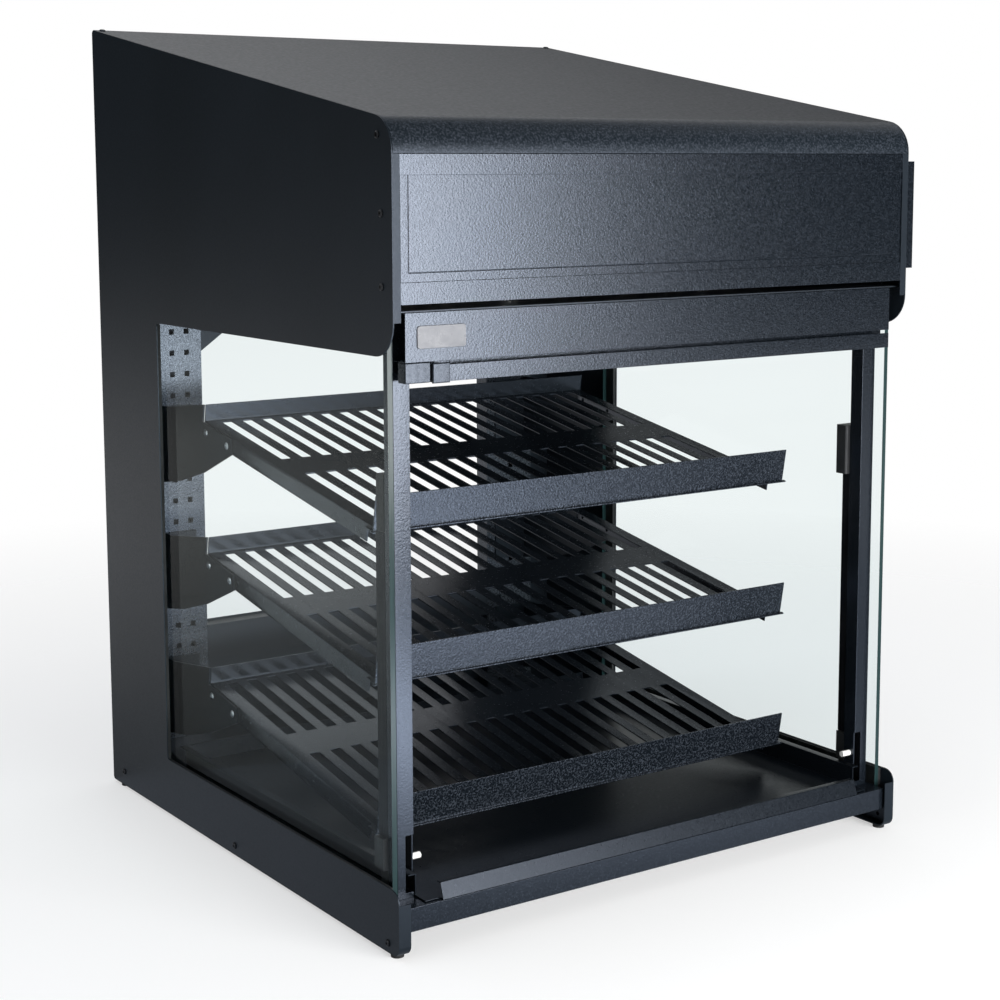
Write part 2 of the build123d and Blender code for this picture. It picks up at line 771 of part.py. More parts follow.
# Base: a deck with an apron and skirts, a heater pad under it and a bottom sheet
deck_half = glass_inner - 2 * seat_gap
deck_rear = rear_panel_y - seat_gap
with BuildPart(case_frame) as base_deck:
    block((-deck_half, deck_half), (apron_front, deck_rear), (base_bottom, deck_height))
    block((-deck_half + sheet, deck_half - sheet), (apron_front + sheet, deck_rear - sheet),
          (base_bottom, deck_height - sheet), mode=Mode.SUBTRACT)
base_deck.part.label = "base_deck"
export_step(base_deck.part, "parts/base_deck.step")

with BuildPart(case_frame) as bottom_cover:
    block((-deck_half + sheet + seat_gap, deck_half - sheet - seat_gap),
          (apron_front + sheet + seat_gap, deck_rear - sheet - seat_gap), (base_bottom, base_bottom + sheet))
bottom_cover.part.label = "bottom_cover"
export_step(bottom_cover.part, "parts/bottom_cover.step")

with BuildPart(case_frame) as base_heater:
    pad_top = deck_height - sheet
    block((-deck_half + pad_side_margin, deck_half - pad_side_margin),
          (apron_front + pad_end_margin, deck_rear - pad_end_margin), (pad_top - pad_thickness, pad_top))
base_heater.part.label = "base_heater"
export_step(base_heater.part, "parts/base_heater.step")

with BuildPart(case_frame) as foot_pads:
    with BuildSketch(level(0)):
        pad_x = half - pad_radius - sheet / 2
        for y in (pad_from_front, case_depth - pad_from_rear):
            with Locations((-pad_x, y), (pad_x, y)):
                Circle(pad_radius)
    extrude(amount=foot_height)
foot_pads.part.label = "foot_pads"
export_step(foot_pads.part, "parts/foot_pads.step")

# Tray: a shallow pan that slides out to the front between the posts
tray_front = apron_front + tray_lip_lean
tray_rear = tray_front + tray_depth
with BuildPart(case_frame) as tray:
    block((-tray_half, tray_half), (tray_front, tray_rear), (tray_bottom, tray_bottom + sheet))
    block((-tray_half, tray_half), (tray_rear - sheet, tray_rear), (tray_bottom, tray_top))
    for s in (-1, 1):
        block((s * tray_half, s * (tray_half - sheet)), (post_front, tray_rear), (tray_bottom, tray_top))
        block((s * (tray_half + tray_flange), s * (tray_half - sheet)), (post_front, tray_rear),
              (tray_top - sheet, tray_top))
    with BuildSketch(side_face(tray_lip_inset - tray_half)):
        with BuildLine():
            lip_line = Polyline(
                (tray_front + 2 * flange_depth, tray_bottom), (tray_front - tray_lip_lean, tray_bottom),
                (tray_front, tray_bottom + tray_lip_height),
                (tray_front + flange_depth / 2, tray_bottom + tray_lip_height),
            )
            offset(lip_line, amount=sheet, side=Side.RIGHT)
        make_face()
    extrude(amount=2 * (tray_half - tray_lip_inset))
tray.part.label = "tray"
export_step(tray.part, "parts/tray.step")

with BuildPart(case_frame) as tray_pins:
    for s in (-1, 1):
        with BuildSketch(side_face(s * post_inner)):
            with Locations((post_front + post_depth / 2, pin_height)):
                Circle(pin_radius)
        extrude(amount=-s * pin_length)
tray_pins.part.label = "tray_pins"
export_step(tray_pins.part, "parts/tray_pins.step")

# Rear frame, sill and control panel
with BuildPart(case_frame) as rear_frame:
    frame_half = inner_half - seat_gap
    with BuildSketch(front_face(rear_face)):
        with Locations((0, base_bottom)):
            Rectangle(2 * frame_half, window_top - base_bottom, align=(Align.CENTER, Align.MIN))
        with BuildLine():
            top = window_top - valance_step
            Polyline(
                (-upright_inner, rear_opening_bottom), (upright_inner, rear_opening_bottom),
                (upright_inner, top - gusset_height), (upright_inner - gusset_width, top),
                (-upright_inner + gusset_width, top), (-upright_inner, top - gusset_height), close=True,
            )
        make_face(mode=Mode.SUBTRACT)
        for s in (-1, 1):
            with Locations(*rear_places(s, rear_heights[:3])):
                Circle(screw_radius + seat_gap / 2, mode=Mode.SUBTRACT)
    extrude(amount=sheet)
rear_frame.part.label = "rear_frame"
export_step(rear_frame.part, "parts/rear_frame.step")

with BuildPart(case_frame) as rear_sill:
    sill_half = upright_inner - seat_gap
    sill = (sill_bottom, sill_bottom + sill_height)
    block((-sill_half, sill_half), (upright_front, upright_front + post_sheet), sill)
    for z in (sill[0], sill[1] - post_sheet):
        block((-sill_half, sill_half), (upright_front, upright_front + upright_depth), (z, z + post_sheet))
rear_sill.part.label = "rear_sill"
export_step(rear_sill.part, "parts/rear_sill.step")

switch_x = (power_switch_x, light_switch_x)
cutout = (rocker_width + 2 * (rocker_gap + sheet), rocker_height + 2 * (rocker_room + sheet))
panel_top = rear_height - (case_depth - rear_panel_y) * tan(slope) - (sheet + seat_gap) / cos(slope)
with BuildPart(case_frame) as control_panel:
    with BuildSketch(front_face(rear_face)):
        with Locations((0, window_top)):
            Rectangle(2 * frame_half, panel_top - window_top, align=(Align.CENTER, Align.MIN))
        with Locations(*[(x, switch_z) for x in switch_x]):
            Rectangle(*cutout, mode=Mode.SUBTRACT)
        with Locations((knob_x, switch_z)):
            Circle(shaft_radius + seat_gap, mode=Mode.SUBTRACT)
        with Locations((0, panel_top - vent_drop)):
            with GridLocations(duct_length + duct_gap, vent_pitch, 6, 4):
                Rectangle(duct_length, duct_height, mode=Mode.SUBTRACT)
        for s in (-1, 1):
            with Locations(*rear_places(s, rear_heights[3:] + [roof_flange_z])):
                Circle(screw_radius + seat_gap / 2, mode=Mode.SUBTRACT)
    extrude(amount=sheet)
control_panel.part.label = "control_panel"
export_step(control_panel.part, "parts/control_panel.step")

pivot_y = rear_face + bezel_height / 2
with BuildPart(case_frame) as switch_bodies:
    for x in switch_x:
        block((x - cutout[0] / 2, x + cutout[0] / 2), (rear_face - switch_body_depth, rear_face),
              (switch_z - cutout[1] / 2, switch_z + cutout[1] / 2))
        with BuildSketch(front_face(rear_face)):
            with Locations((x, switch_z)):
                RectangleRounded(cutout[0] + 2 * bezel_border, cutout[1] + 2 * bezel_border, bezel_corner)
        extrude(amount=-bezel_height)
        well_half = rocker_width / 2 + rocker_gap
        block((x - well_half, x + well_half),
              (pivot_y - rocker_depth / 2 - rocker_well, rear_face + bezel_height),
              (switch_z - rocker_height / 2 - rocker_room, switch_z + rocker_height / 2 + rocker_room),
              mode=Mode.SUBTRACT)
        with BuildSketch(side_face(x - rocker_width / 2 - rocker_pin_length)):
            with Locations((pivot_y, switch_z)):
                Circle(rocker_pin_radius + shaft_play)
        extrude(amount=rocker_width + 2 * rocker_pin_length, mode=Mode.SUBTRACT)
switch_bodies.part.label = "switch_bodies"
export_step(switch_bodies.part, "parts/switch_bodies.step")

# Rocker keys, each resting with its upper edge pressed in
tilt = radians(rocker_tilt)
for name, x in zip(("power_rocker", "light_rocker"), switch_x):
    key_plane = Plane(origin=(mid_x + x, front_y + pivot_y, switch_z), x_dir=(1, 0, 0),
                      z_dir=(0, -sin(tilt), cos(tilt)))
    with BuildPart(key_plane) as rocker_key:
        Box(rocker_width, rocker_depth, rocker_height)
        with Locations((0, rocker_depth / 2 + 3 * rocker_height - rocker_hollow, 0)):
            Cylinder(3 * rocker_height, rocker_width, rotation=(0, 90, 0), mode=Mode.SUBTRACT)
        Cylinder(rocker_pin_radius, rocker_width + 2 * rocker_pin_length, rotation=(0, 90, 0))
    rocker_key.part.label = name
    export_step(rocker_key.part, f"parts/{name}.step")

# Thermostat: a body behind the panel, a shaft through it and a ribbed knob
with BuildPart(case_frame) as thermostat_body:
    block((knob_x - thermostat_width / 2, knob_x + thermostat_width / 2),
          (rear_panel_y - thermostat_depth, rear_panel_y),
          (switch_z - thermostat_width / 2, switch_z + thermostat_width / 2))
    with BuildSketch(front_face(rear_panel_y)):
        with Locations((knob_x, switch_z)):
            Circle(shaft_radius + shaft_play)
    extrude(amount=thermostat_depth / 2, mode=Mode.SUBTRACT)
thermostat_body.part.label = "thermostat_body"
export_step(thermostat_body.part, "parts/thermostat_body.step")

shaft_end = knob_face + 2 * knob_height / 3
with BuildPart(case_frame) as thermostat_shaft:
    with BuildSketch(front_face(shaft_end)):
        with Locations((knob_x, switch_z)):
            Circle(shaft_radius)
    extrude(amount=shaft_end - rear_panel_y + thermostat_depth / 2 - seat_gap)
thermostat_shaft.part.label = "thermostat_shaft"
export_step(thermostat_shaft.part, "parts/thermostat_shaft.step")

with BuildPart(case_frame) as thermostat_knob:
    with BuildSketch(front_face(knob_face)):
        with Locations((knob_x, switch_z)):
            Circle(knob_radius)
    extrude(amount=-knob_height / 3)
    with BuildSketch(front_face(knob_face + knob_height / 3)):
        with Locations((knob_x, switch_z)):
            Circle(knob_radius - knob_waist)
            with PolarLocations(knob_radius - knob_waist, 12):
                Circle(knob_flute, mode=Mode.SUBTRACT)
    extrude(amount=-2 * knob_height / 3)
    with BuildSketch(front_face(knob_face)):
        with Locations((knob_x, switch_z)):
            Circle(shaft_radius + shaft_play)
    extrude(amount=knob_face - shaft_end, mode=Mode.SUBTRACT)
    block((knob_x - knob_mark, knob_x + knob_mark),
          (knob_face + knob_height - knob_mark, knob_face + knob_height),
          (switch_z, switch_z + knob_radius), mode=Mode.SUBTRACT)
thermostat_knob.part.label = "thermostat_knob"
export_step(thermostat_knob.part, "parts/thermostat_knob.step")

with BuildPart(case_frame) as indicator_lamp:
    with BuildSketch(front_face(rear_face)):
        with Locations((lamp_x, switch_z)):
            Circle(lamp_radius)
    extrude(amount=-lamp_height)
    fillet(indicator_lamp.faces().sort_by(Axis.Y)[-1].edges(), lamp_round)
indicator_lamp.part.label = "indicator_lamp"
export_step(indicator_lamp.part, "parts/indicator_lamp.step")

inlet_half = inlet_width / 2
socket_top = inlet_height / 2 - socket_edge
prongs = ((-prong_pitch, -prong_width), (0, prong_height / 2), (prong_pitch, -prong_width))
with BuildPart(case_frame) as power_inlet:
    block((inlet_x - inlet_half, inlet_x + inlet_half), (rear_face, rear_face + inlet_depth),
          (switch_z - inlet_height / 2, switch_z + inlet_height / 2))
    fillet(power_inlet.edges().filter_by(Axis.Y), inlet_corner)
    block((inlet_x - inlet_half + socket_side, inlet_x + inlet_half - socket_side),
          (rear_face + inlet_floor, rear_face + inlet_depth), (switch_z - socket_top, switch_z + socket_top),
          mode=Mode.SUBTRACT)
    for x, z in prongs:
        block((inlet_x + x - prong_width / 2, inlet_x + x + prong_width / 2),
              (rear_face + inlet_floor, rear_face + inlet_depth - inlet_corner),
              (switch_z + z - prong_height / 2, switch_z + z + prong_height / 2))
power_inlet.part.label = "power_inlet"
export_step(power_inlet.part, "parts/power_inlet.step")

# Shelves: a slotted sheet and its front lip on each level
plate_face = shelf_half + seat_gap
bolt_places = (bolt_first, bolt_first + bolt_pitch)
for name, height in shelf_levels.items():
    with BuildPart(shelf_plane(height)) as shelf:
        block((-shelf_half, shelf_half), (0, shelf_length), (-shelf_sheet, 0))
        block((-shelf_half, shelf_half), (shelf_length - shelf_sheet, shelf_length), (0, shelf_upstand))
        for s in (-1, 1):
            block((s * shelf_half, s * (shelf_half - shelf_sheet)), (lip_return + flange_notch, shelf_length),
                  (-shelf_flange, 0))
        with BuildSketch(shelf_plane(height)):
            with Locations((0, slot_first + slot_row_pitch / 2)):
                with GridLocations(slot_pitch, slot_row_pitch, slot_count, 2):
                    Rectangle(slot_width, slot_length)
        extrude(amount=-shelf_sheet, mode=Mode.SUBTRACT)
        with BuildSketch(side_face(-shelf_half)):
            with Locations(*[on_shelf(height, along, -bolt_drop) for along in bolt_places]):
                Circle(bolt_radius + seat_gap / 2)
        extrude(amount=2 * shelf_half, mode=Mode.SUBTRACT)
    shelf.part.label = f"shelf_{name}"
    export_step(shelf.part, f"parts/shelf_{name}.step")

    with BuildPart(shelf_plane(height)) as shelf_lip:
        lip_half = shelf_half + lip_overhang
        lip_low = -2 * shelf_sheet - seat_gap
        block((-lip_half, lip_half), (-seat_gap - shelf_sheet, -seat_gap), (lip_low, lip_height))
        block((-lip_half, lip_half), (-seat_gap - shelf_sheet, lip_return),
              (lip_low, lip_low + shelf_sheet))
        toe_half = lip_half + lip_toe_overhang
        block((-toe_half, toe_half), (-seat_gap - shelf_sheet - lip_toe, -seat_gap - shelf_sheet / 2),
              (lip_low, lip_low + shelf_sheet))
    shelf_lip.part.label = f"shelf_lip_{name}"
    export_step(shelf_lip.part, f"parts/shelf_lip_{name}.step")

# Brackets that carry the shelves from the uprights, three on each side
heel = upright_front - seat_gap
for side, s in (("left", -1), ("right", 1)):
    with BuildPart(case_frame) as shelf_brackets:
        for height in shelf_levels.values():
            toe_low = on_shelf(height, bracket_toe, -shelf_flange)
            toe_high = on_shelf(height, bracket_toe + shelf_flange * tan(slope), -shelf_sheet)
            rear_low = on_shelf(height, shelf_length, -shelf_sheet)
            rear_high = on_shelf(height, shelf_length, shelf_upstand)
            with BuildSketch(side_face(s * plate_face)):
                with BuildLine():
                    Polyline(
                        toe_low, toe_high, rear_low, rear_high,
                        (heel - bracket_step, rear_high[1] - bracket_fall),
                        (heel, rear_high[1] - bracket_fall),
                        (heel, toe_low[1] - bracket_drop),
                        (heel - 2 * bracket_step, toe_low[1] - bracket_drop + bracket_chin),
                        (rear_low[0], toe_low[1] - bracket_drop / 2), close=True,
                    )
                make_face()
                with Locations(*[on_shelf(height, along, -bolt_drop) for along in bolt_places]):
                    Circle(bolt_radius + seat_gap / 2, mode=Mode.SUBTRACT)
            extrude(amount=s * bracket_sheet)
            block((s * (plate_face + bracket_sheet), s * (first_column - hole_size)),
                  (heel - bracket_sheet, heel),
                  (toe_low[1] - bracket_drop + bracket_edge, rear_high[1] - bracket_fall - bracket_edge))
    shelf_brackets.part.label = f"shelf_brackets_{side}"
    export_step(shelf_brackets.part, f"parts/shelf_brackets_{side}.step")

with BuildPart(case_frame) as shelf_bolts:
    for height in shelf_levels.values():
        for s in (-1, 1):
            bolt_face = side_face(s * (plate_face + bracket_sheet))
            with BuildSketch(bolt_face):
                with Locations(*[on_shelf(height, along, -bolt_drop) for along in bolt_places]):
                    Circle(bolt_head_radius)
            extrude(amount=s * bolt_head)
            with BuildSketch(bolt_face):
                with Locations(*[on_shelf(height, along, -bolt_drop) for along in bolt_places]):
                    Circle(bolt_radius)
            extrude(amount=-s * (bracket_sheet + seat_gap + shelf_sheet + bolt_head))
shelf_bolts.part.label = "shelf_bolts"
export_step(shelf_bolts.part, "parts/shelf_bolts.step")
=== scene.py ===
"""Heated display case: finishes, edges, fasteners and studio."""
import json
import math

import bmesh
import bpy
from mathutils import Matrix, Vector


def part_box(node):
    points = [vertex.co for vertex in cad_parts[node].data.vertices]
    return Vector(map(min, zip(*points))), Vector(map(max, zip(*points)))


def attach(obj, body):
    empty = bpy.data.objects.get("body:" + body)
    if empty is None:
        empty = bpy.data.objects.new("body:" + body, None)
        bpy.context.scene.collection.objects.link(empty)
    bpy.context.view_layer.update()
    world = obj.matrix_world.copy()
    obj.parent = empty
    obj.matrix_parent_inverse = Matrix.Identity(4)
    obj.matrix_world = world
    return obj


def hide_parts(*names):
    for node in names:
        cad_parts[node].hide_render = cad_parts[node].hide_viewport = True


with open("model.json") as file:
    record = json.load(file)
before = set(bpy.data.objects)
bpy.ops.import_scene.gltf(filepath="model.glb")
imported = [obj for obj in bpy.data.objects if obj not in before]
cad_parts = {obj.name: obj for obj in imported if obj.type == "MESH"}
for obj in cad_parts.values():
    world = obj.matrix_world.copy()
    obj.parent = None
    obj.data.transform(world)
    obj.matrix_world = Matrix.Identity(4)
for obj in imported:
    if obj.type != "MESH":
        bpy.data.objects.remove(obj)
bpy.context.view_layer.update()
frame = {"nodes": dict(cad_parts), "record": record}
nodes = frame["nodes"]
MM = 0.001
NO_TINT = (1.0, 1.0, 1.0, 1.0)
COAT_TINT = (0.74, 0.83, 1.0, 1.0)
GRIT_SHARE = 0.6
FLECK_START, FLECK_END = 0.44, 0.80


# Node helpers

class Shader:
    """A material's node tree, with short calls for the nodes that the finishes share."""

    def __init__(self, name, colour, roughness, metallic=0.0):
        self.material = bpy.data.materials.new(name)
        self.material.use_nodes = True
        self.tree = self.material.node_tree
        self.surface = self.tree.nodes["Principled BSDF"]
        self.output = self.tree.nodes["Material Output"]
        self.place = self.add("ShaderNodeTexCoord").outputs["Object"]
        self.set("Base Color", (*colour, 1.0))
        self.set("Roughness", roughness)
        self.set("Metallic", metallic)

    def add(self, kind, **settings):
        node = self.tree.nodes.new(kind)
        for key, value in settings.items():
            if hasattr(node, key):
                setattr(node, key, value)
            else:
                node.inputs[key.replace("_", " ")].default_value = value
        return node

    def link(self, source, target):
        self.tree.links.new(source, target)

    def set(self, socket, value):
        self.surface.inputs[socket].default_value = value

    def stretched(self, scale):
        mapping = self.add("ShaderNodeMapping")
        mapping.inputs["Scale"].default_value = scale
        self.link(self.place, mapping.inputs["Vector"])
        return mapping.outputs["Vector"]

    def grain(self, scale, detail=2.0, place=None):
        node = self.add("ShaderNodeTexNoise", Scale=scale, Detail=detail)
        self.link(place or self.place, node.inputs["Vector"])
        return node.outputs["Fac"]

    def cells(self, scale, randomness=1.0):
        node = self.add("ShaderNodeTexVoronoi", feature="SMOOTH_F1", Scale=scale, Randomness=randomness)
        self.link(self.place, node.inputs["Vector"])
        return node.outputs["Distance"]

    def remap(self, value, low, high, start=0.3, end=0.7):
        node = self.add("ShaderNodeMapRange")
        node.inputs["From Min"].default_value = start
        node.inputs["From Max"].default_value = end
        node.inputs["To Min"].default_value = low
        node.inputs["To Max"].default_value = high
        self.link(value, node.inputs["Value"])
        return node.outputs["Result"]

    def sum(self, first, second, share):
        node = self.add("ShaderNodeMath", operation="MULTIPLY_ADD")
        node.inputs[1].default_value = share
        self.link(second, node.inputs[0])
        self.link(first, node.inputs[2])
        return node.outputs[0]

    def tones(self, value, dark, light, start=0.35, end=0.65):
        ramp = self.add("ShaderNodeValToRGB")
        ramp.color_ramp.elements[0].position = start
        ramp.color_ramp.elements[0].color = (*dark, 1.0)
        ramp.color_ramp.elements[1].position = end
        ramp.color_ramp.elements[1].color = (*light, 1.0)
        self.link(value, ramp.inputs["Fac"])
        self.link(ramp.outputs["Color"], self.surface.inputs["Base Color"])

    def relief(self, height, depth, strength=1.0):
        bump = self.add("ShaderNodeBump", Strength=strength, Distance=depth)
        self.link(height, bump.inputs["Height"])
        self.link(bump.outputs["Normal"], self.surface.inputs["Normal"])

    def sheen_spread(self, value, low, high):
        self.link(self.remap(value, low, high), self.surface.inputs["Roughness"])


def powder_coat(name, dark, light, grain, depth, rough, specular, flecked=True):
    """Black powder coat on sheet metal: pebbled, with patchy gloss, and pale flecks or a drift of tone."""
    coat = Shader(name, dark, rough[0])
    pebbles = coat.cells(grain)
    grit = coat.grain(grain * 2.2, 3.0)
    if flecked:
        coat.tones(coat.grain(grain, 1.0), dark, light, FLECK_START, FLECK_END)
    else:
        coat.tones(coat.grain(6.0, 3.0), dark, light)
    coat.relief(coat.sum(pebbles, grit, GRIT_SHARE), depth, 0.8)
    coat.sheen_spread(coat.grain(grain * 0.5, 4.0), *rough)
    coat.set("Specular IOR Level", specular)
    coat.set("Specular Tint", COAT_TINT)
    return coat.material


# Finishes: each coat has its dark and light tone, grain per metre, relief depth, roughness and specular level

case_paint = powder_coat("case satin coat", (0.0050, 0.0080, 0.0110), (0.0070, 0.0105, 0.0145),
                         1400.0, 0.03 * MM, (0.36, 0.46), 0.28, flecked=False)
pebble_paint = powder_coat("pebbled coat", (0.0030, 0.0045, 0.0065), (0.013, 0.017, 0.023),
                           600.0, 0.11 * MM, (0.18, 0.25), 0.50)
rough_paint = powder_coat("rough coat", (0.0030, 0.0045, 0.0065), (0.036, 0.043, 0.054),
                          540.0, 0.34 * MM, (0.17, 0.24), 0.50)
tray_paint = powder_coat("tray coat", (0.0030, 0.0045, 0.0065), (0.010, 0.013, 0.017),
                         600.0, 0.05 * MM, (0.27, 0.35), 0.22)
shelf_paint = powder_coat("shelf coat", (0.0040, 0.0058, 0.0080), (0.012, 0.015, 0.020),
                          600.0, 0.04 * MM, (0.20, 0.28), 0.60)
upright_paint = powder_coat("upright coat", (0.0060, 0.0080, 0.0105), (0.060, 0.068, 0.080),
                            560.0, 0.10 * MM, (0.24, 0.32), 0.70)
# The roof coat is the case coat's dark tone with pale bluish flecks. The flecks are partly the roof's own
# grain and partly a painted sheen: they make the roof lighter and bluer, standing in for the light it
# reflects from above.
roof_paint_and_sheen = powder_coat("roof coat and painted sheen", (0.0050, 0.0080, 0.0110), (0.034, 0.040, 0.051),
                         560.0, 0.08 * MM, (0.34, 0.44), 0.28)
inner_paint = powder_coat("inner coat", (0.0060, 0.0085, 0.0110), (0.0095, 0.0125, 0.0160),
                          900.0, 0.08 * MM, (0.34, 0.46), 0.35, flecked=False)


def rubber():
    seal = Shader("black rubber", (0.012, 0.012, 0.013), 0.72)
    seal.tones(seal.grain(60.0, 4.0), (0.009, 0.009, 0.010), (0.02, 0.02, 0.021))
    seal.relief(seal.grain(2200.0, 2.0), 0.00005, 0.6)
    seal.set("Specular IOR Level", 0.3)
    return seal.material


def moulded(name, dark, light, rough=0.45, tint=NO_TINT):
    """Moulded plastic with a fine spark-eroded grain."""
    plastic = Shader(name, dark, rough)
    plastic.tones(plastic.grain(35.0, 3.0), dark, light)
    plastic.relief(plastic.grain(1800.0, 3.0), 0.00006, 0.7)
    plastic.sheen_spread(plastic.grain(240.0, 2.0), rough - 0.06, rough + 0.08)
    plastic.set("Specular IOR Level", 0.4)
    plastic.set("Specular Tint", tint)
    return plastic.material


def brushed(name, dark, light, scale, rough):
    """Bright metal with drawn lines along the given direction."""
    metal = Shader(name, light, rough, 1.0)
    lines = metal.grain(1.0, 3.0, metal.stretched(scale))
    metal.tones(lines, dark, light)
    metal.relief(lines, 0.00003, 0.5)
    metal.sheen_spread(metal.grain(90.0, 3.0), rough - 0.08, rough + 0.12)
    return metal.material


def float_glass():
    """Clear float glass: see-through faces with a mirror-like skin, and a deep green ground edge."""
    straight_on, grazing, falloff = 0.006, 0.4, 5.0
    pane_slant = 0.5
    glass = Shader("float glass", (0.86, 0.93, 0.925), 0.02)
    glass.set("IOR", 1.5)
    glass.set("Transmission Weight", 1.0)
    way = glass.add("ShaderNodeLightPath")
    clear = glass.add("ShaderNodeBsdfTransparent", Color=(0.925, 0.955, 0.955, 1.0))
    skin = glass.add("ShaderNodeBsdfGlossy", Color=(0.9, 0.93, 0.93, 1.0), Roughness=0.015)
    slant = glass.add("ShaderNodeLayerWeight", Blend=0.5)
    steep = glass.add("ShaderNodeMath", operation="POWER")
    steep.inputs[1].default_value = falloff
    glass.link(slant.outputs["Facing"], steep.inputs[0])
    pane = glass.add("ShaderNodeMixShader")
    glass.link(glass.remap(steep.outputs[0], straight_on, grazing, 0.0, 1.0), pane.inputs["Fac"])
    glass.link(clear.outputs["BSDF"], pane.inputs[1])
    glass.link(skin.outputs["BSDF"], pane.inputs[2])
    green = glass.add("ShaderNodeBsdfPrincipled", Roughness=0.18)
    green.inputs["Specular IOR Level"].default_value = 0.2
    lines = glass.grain(1.0, 2.0, glass.stretched((2400.0, 60.0, 14.0)))
    tone = glass.add("ShaderNodeValToRGB")
    tone.color_ramp.elements[0].position = 0.3
    tone.color_ramp.elements[0].color = (0.006, 0.017, 0.018, 1.0)
    tone.color_ramp.elements[1].position = 0.7
    tone.color_ramp.elements[1].color = (0.020, 0.042, 0.043, 1.0)
    glass.link(lines, tone.inputs["Fac"])
    glass.link(tone.outputs["Color"], green.inputs["Base Color"])
    facing = glass.add("ShaderNodeSeparateXYZ")
    glass.link(glass.tree.nodes["Texture Coordinate"].outputs["Normal"], facing.inputs["Vector"])
    flat = glass.add("ShaderNodeMath", operation="ABSOLUTE")
    glass.link(facing.outputs["X"], flat.inputs[0])
    is_pane = glass.add("ShaderNodeMath", operation="GREATER_THAN")
    is_pane.inputs[1].default_value = pane_slant
    glass.link(flat.outputs[0], is_pane.inputs[0])
    whole = glass.add("ShaderNodeMixShader")
    glass.link(is_pane.outputs[0], whole.inputs["Fac"])
    glass.link(green.outputs["BSDF"], whole.inputs[1])
    glass.link(pane.outputs["Shader"], whole.inputs[2])
    light = glass.add("ShaderNodeBsdfTransparent", Color=(0.9, 0.96, 0.95, 1.0))
    final = glass.add("ShaderNodeMixShader")
    glass.link(way.outputs["Is Shadow Ray"], final.inputs["Fac"])
    glass.link(whole.outputs["Shader"], final.inputs[1])
    glass.link(light.outputs["BSDF"], final.inputs[2])
    glass.link(final.outputs["Shader"], glass.output.inputs["Surface"])
    return glass.material


def diffuser():
    lens = Shader("frosted diffuser", (0.72, 0.73, 0.7), 0.45)
    lens.tones(lens.grain(120.0, 2.0), (0.66, 0.67, 0.65), (0.78, 0.78, 0.75))
    lens.relief(lens.grain(1.0, 1.0, lens.stretched((2600.0, 2600.0, 40.0))), 0.00005, 0.6)
    lens.set("Transmission Weight", 0.15)
    return lens.material


def lamp_lens():
    lens = Shader("amber lens", (0.62, 0.2, 0.02), 0.2)
    lens.tones(lens.cells(900.0), (0.75, 0.27, 0.03), (0.5, 0.13, 0.012), 0.2, 0.6)
    lens.relief(lens.cells(900.0), 0.0001, 0.6)
    lens.set("Coat Weight", 0.5)
    return lens.material


def silicone_mat():
    mat = Shader("silicone heater mat", (0.32, 0.08, 0.03), 0.6)
    weave = mat.grain(1.0, 0.0, mat.stretched((700.0, 700.0, 700.0)))
    mat.tones(weave, (0.26, 0.06, 0.025), (0.38, 0.11, 0.045))
    mat.relief(weave, 0.0001, 0.6)
    return mat.material


finishes = {
    "case_paint": case_paint,
    "textured_paint": pebble_paint,
    "side_glass": float_glass(),
    "black_rubber": rubber(),
    "black_fastener": brushed("blackened steel", (0.02, 0.021, 0.024), (0.05, 0.052, 0.056),
                              (90.0, 90.0, 90.0), 0.4),
    "bright_steel": brushed("bright zinc", (0.52, 0.54, 0.57), (0.72, 0.73, 0.75),
                            (300.0, 300.0, 300.0), 0.28),
    "black_plastic": moulded("black moulding", (0.011, 0.0115, 0.0125), (0.02, 0.0205, 0.022)),
    "light_housing": brushed("black anodised", (0.018, 0.019, 0.022), (0.035, 0.036, 0.04),
                             (900.0, 900.0, 5.0), 0.38),
    "light_lens": diffuser(),
    "white_nylon": moulded("natural nylon", (0.74, 0.74, 0.72), (0.84, 0.84, 0.82), 0.42),
    "blank_plate": moulded("blank plate", (0.085, 0.09, 0.105), (0.11, 0.115, 0.13), 0.32),
    "heater_tube": brushed("dark heater sheath", (0.16, 0.13, 0.11), (0.34, 0.31, 0.28),
                           (60.0, 60.0, 60.0), 0.42),
    "ceramic": moulded("glazed insulator", (0.68, 0.65, 0.57), (0.78, 0.76, 0.69), 0.25),
    "heater_mat": silicone_mat(),
    "control_body": moulded("control moulding", (0.2, 0.19, 0.17), (0.26, 0.25, 0.22), 0.5),
    "lamp_lens": lamp_lens(),
}
strip_moulding = moulded("strip moulding", (0.006, 0.008, 0.011), (0.009, 0.012, 0.016), 0.24, COAT_TINT)
own_finish = {"roof_panel": roof_paint_and_sheen, "tray": tray_paint}
for names, paint in (
        (("ceiling_panel", "rear_sill", "header_backing"), inner_paint),
        (("valance_end_cap", "strip_clip"), strip_moulding),
        (("shelf_lip_top", "shelf_lip_middle", "shelf_lip_bottom"), rough_paint),
        (("rear_upright_left", "rear_upright_right"), upright_paint),
        (("shelf_top", "shelf_middle", "shelf_bottom"), shelf_paint),
        (("shelf_brackets_left", "shelf_brackets_right"), case_paint)):
    own_finish.update(dict.fromkeys(names, paint))
slots = {entry["node"]: entry["material_slot"] for entry in frame["record"]["subparts"]}
for name, node in nodes.items():
    node.data.materials.clear()
    node.data.materials.append(own_finish.get(name, finishes[slots[name]]))
    for face in node.data.polygons:
        face.material_index = 0


# Folded sheet edges

SHARP_FOLD = math.radians(40)
EVEN_WEIGHT = 50
EDGE_RADIUS = 0.35 * MM
SHELF_EDGE_RADIUS = 0.25 * MM
TRAY_EDGE_RADIUS = 0.4 * MM


def from_node(name):
    """A copy of a node's mesh, with its loose triangles joined up."""
    mesh = bmesh.new()
    mesh.from_mesh(nodes[name].data)
    bmesh.ops.remove_doubles(mesh, verts=mesh.verts, dist=2e-6)
    return mesh


